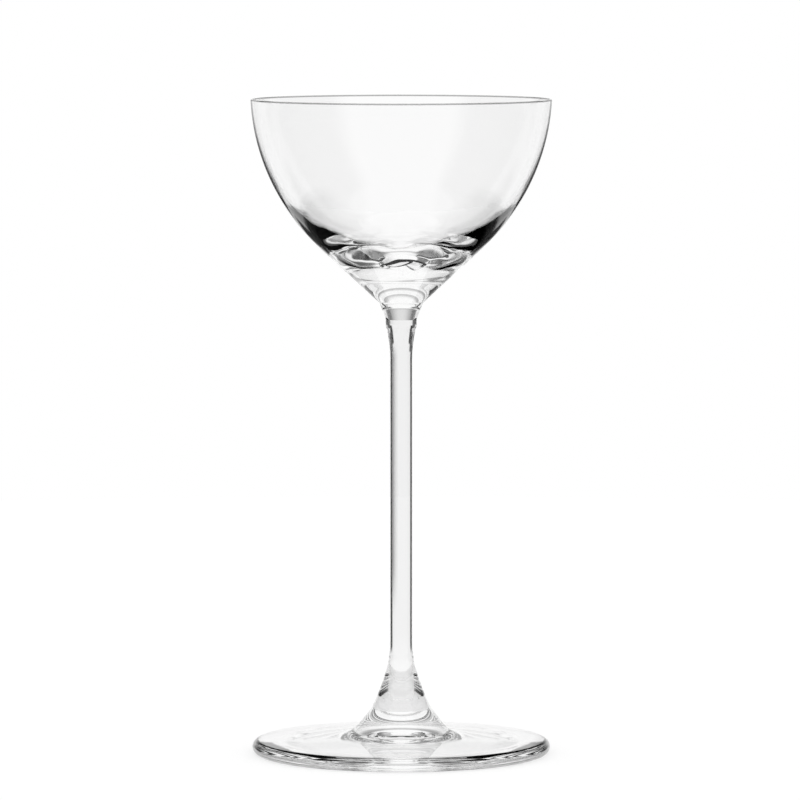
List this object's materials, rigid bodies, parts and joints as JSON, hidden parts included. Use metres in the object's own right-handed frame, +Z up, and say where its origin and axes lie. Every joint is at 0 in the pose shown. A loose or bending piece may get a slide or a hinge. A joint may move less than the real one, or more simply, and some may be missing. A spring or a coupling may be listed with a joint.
{
  "type": "nick and nora glass",
  "caption": "Stemmed cocktail glass: small round bowl with a thin wall and a heavy base, on a slim straight stem that flares onto a flat round foot.",
  "frame": {"origin": "centre of the foot on the surface that the glass stands on", "axes": "+Z up along the stem, which is the glass's axis of revolution; X and Y lie across it, and any turn about Z looks the same"},
  "size_m": [0.082, 0.082, 0.179],
  "materials": {
    "clear_crystal": "clear, fire-polished"
  },
  "bodies": {
    "root": {"bowl": "clear_crystal", "stem": "clear_crystal", "foot": "clear_crystal"}
  },
  "joints": []
}
